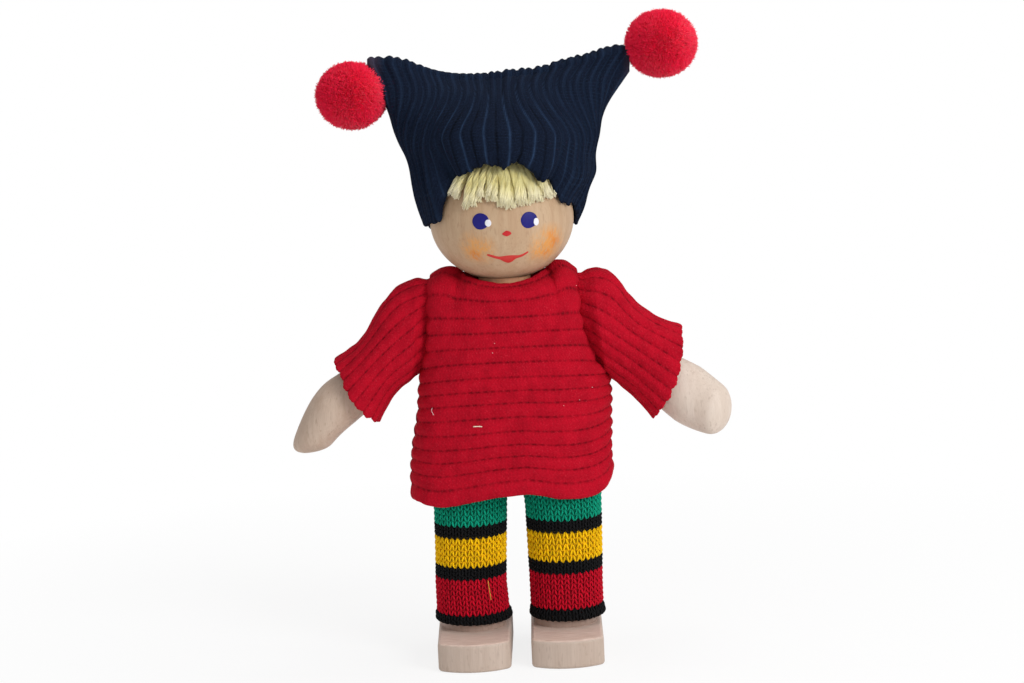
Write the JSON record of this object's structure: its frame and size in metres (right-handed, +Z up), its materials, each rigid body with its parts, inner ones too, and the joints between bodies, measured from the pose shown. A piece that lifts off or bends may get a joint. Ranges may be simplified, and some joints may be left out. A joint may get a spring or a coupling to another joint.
{
  "type": "jointed wooden dolls' house doll",
  "caption": "Small dressed wooden doll that stands on block feet, with a turning head, pegged hips, pinned shoulders, turning hands, a ribbed sweater, striped stockings and a two-pointed hat.",
  "frame": {"origin": "on the floor under the middle of the neck", "axes": "+Z up, the doll faces -Y, its own left side is at +X"},
  "size_m": [0.0779, 0.0288, 0.1121],
  "materials": {
    "red_rib_knit": "soft rib knit",
    "navy_rib_knit": "soft rib knit",
    "crimson_yarn": "cut wool yarn",
    "cream_yarn": "twisted yarn",
    "striped_knit": "stocking stitch in green, black, yellow and red stripes",
    "pin_steel": "plain",
    "elastic": "matt",
    "head_beech": "satin lacquer over painted face",
    "hand_beech": "raw, sanded",
    "foot_beech": "raw, sanded",
    "inner_beech": "raw, sanded"
  },
  "bodies": {
    "torso": {"torso": "inner_beech", "neck_dowel": "inner_beech", "hip_peg": "inner_beech", "arm_elastic": "elastic", "sweater_front": "red_rib_knit", "sweater_back": "red_rib_knit"},
    "head": {"head": "head_beech", "hair_fringe": "cream_yarn", "hat": "navy_rib_knit", "right_pompom": "crimson_yarn", "left_pompom": "crimson_yarn", "right_pompom_tie": "crimson_yarn", "left_pompom_tie": "crimson_yarn"},
    "right_shoulder": {"right_shoulder_fork": "inner_beech", "right_shoulder_pin": "pin_steel"},
    "left_shoulder": {"left_shoulder_fork": "inner_beech", "left_shoulder_pin": "pin_steel"},
    "right_arm": {"right_arm": "inner_beech", "right_sleeve": "red_rib_knit"},
    "left_arm": {"left_arm": "inner_beech", "left_sleeve": "red_rib_knit"},
    "right_hand": {"right_hand": "hand_beech"},
    "left_hand": {"left_hand": "hand_beech"},
    "right_leg": {"right_leg": "inner_beech", "right_stocking": "striped_knit", "right_foot": "foot_beech", "right_ankle_peg": "inner_beech"},
    "left_leg": {"left_leg": "inner_beech", "left_stocking": "striped_knit", "left_foot": "foot_beech", "left_ankle_peg": "inner_beech"}
  },
  "joints": [
    {"name": "head_turn", "type": "hinge", "parent": "torso", "child": "head", "pos_m": [0, 0, 0.0772], "axis": [0, 0, 1], "continuous": true},
    {"name": "right_shoulder_swing", "type": "hinge", "parent": "torso", "child": "right_shoulder", "pos_m": [-0.013, 0, 0.0566], "axis": [-1, 0, 0], "range_deg": [-40, 120], "deforming": ["right_sleeve", "sweater_front", "sweater_back"]},
    {"name": "right_shoulder_raise", "type": "hinge", "parent": "right_shoulder", "child": "right_arm", "pos_m": [-0.013, 0, 0.0566], "axis": [0, 1, 0], "range_deg": [-25, 80]},
    {"name": "right_hand_turn", "type": "hinge", "parent": "right_arm", "child": "right_hand", "pos_m": [-0.013, 0, 0.0566], "axis": [-0.848, 0, -0.5299], "continuous": true},
    {"name": "left_shoulder_swing", "type": "hinge", "parent": "torso", "child": "left_shoulder", "pos_m": [0.013, 0, 0.0566], "axis": [-1, 0, 0], "range_deg": [-40, 120], "deforming": ["left_sleeve"]},
    {"name": "left_shoulder_raise", "type": "hinge", "parent": "left_shoulder", "child": "left_arm", "pos_m": [0.013, 0, 0.0566], "axis": [0, -1, 0], "range_deg": [-25, 80]},
    {"name": "left_hand_turn", "type": "hinge", "parent": "left_arm", "child": "left_hand", "pos_m": [0.013, 0, 0.0566], "axis": [0.8339, 0, -0.5519], "continuous": true},
    {"name": "right_hip_swing", "type": "hinge", "parent": "torso", "child": "right_leg", "pos_m": [-0.0081, 0, 0.0396], "axis": [-1, 0, 0], "range_deg": [-20, 90]},
    {"name": "left_hip_swing", "type": "hinge", "parent": "torso", "child": "left_leg", "pos_m": [0.0081, 0, 0.0396], "axis": [-1, 0, 0], "range_deg": [-20, 90]}
  ]
}
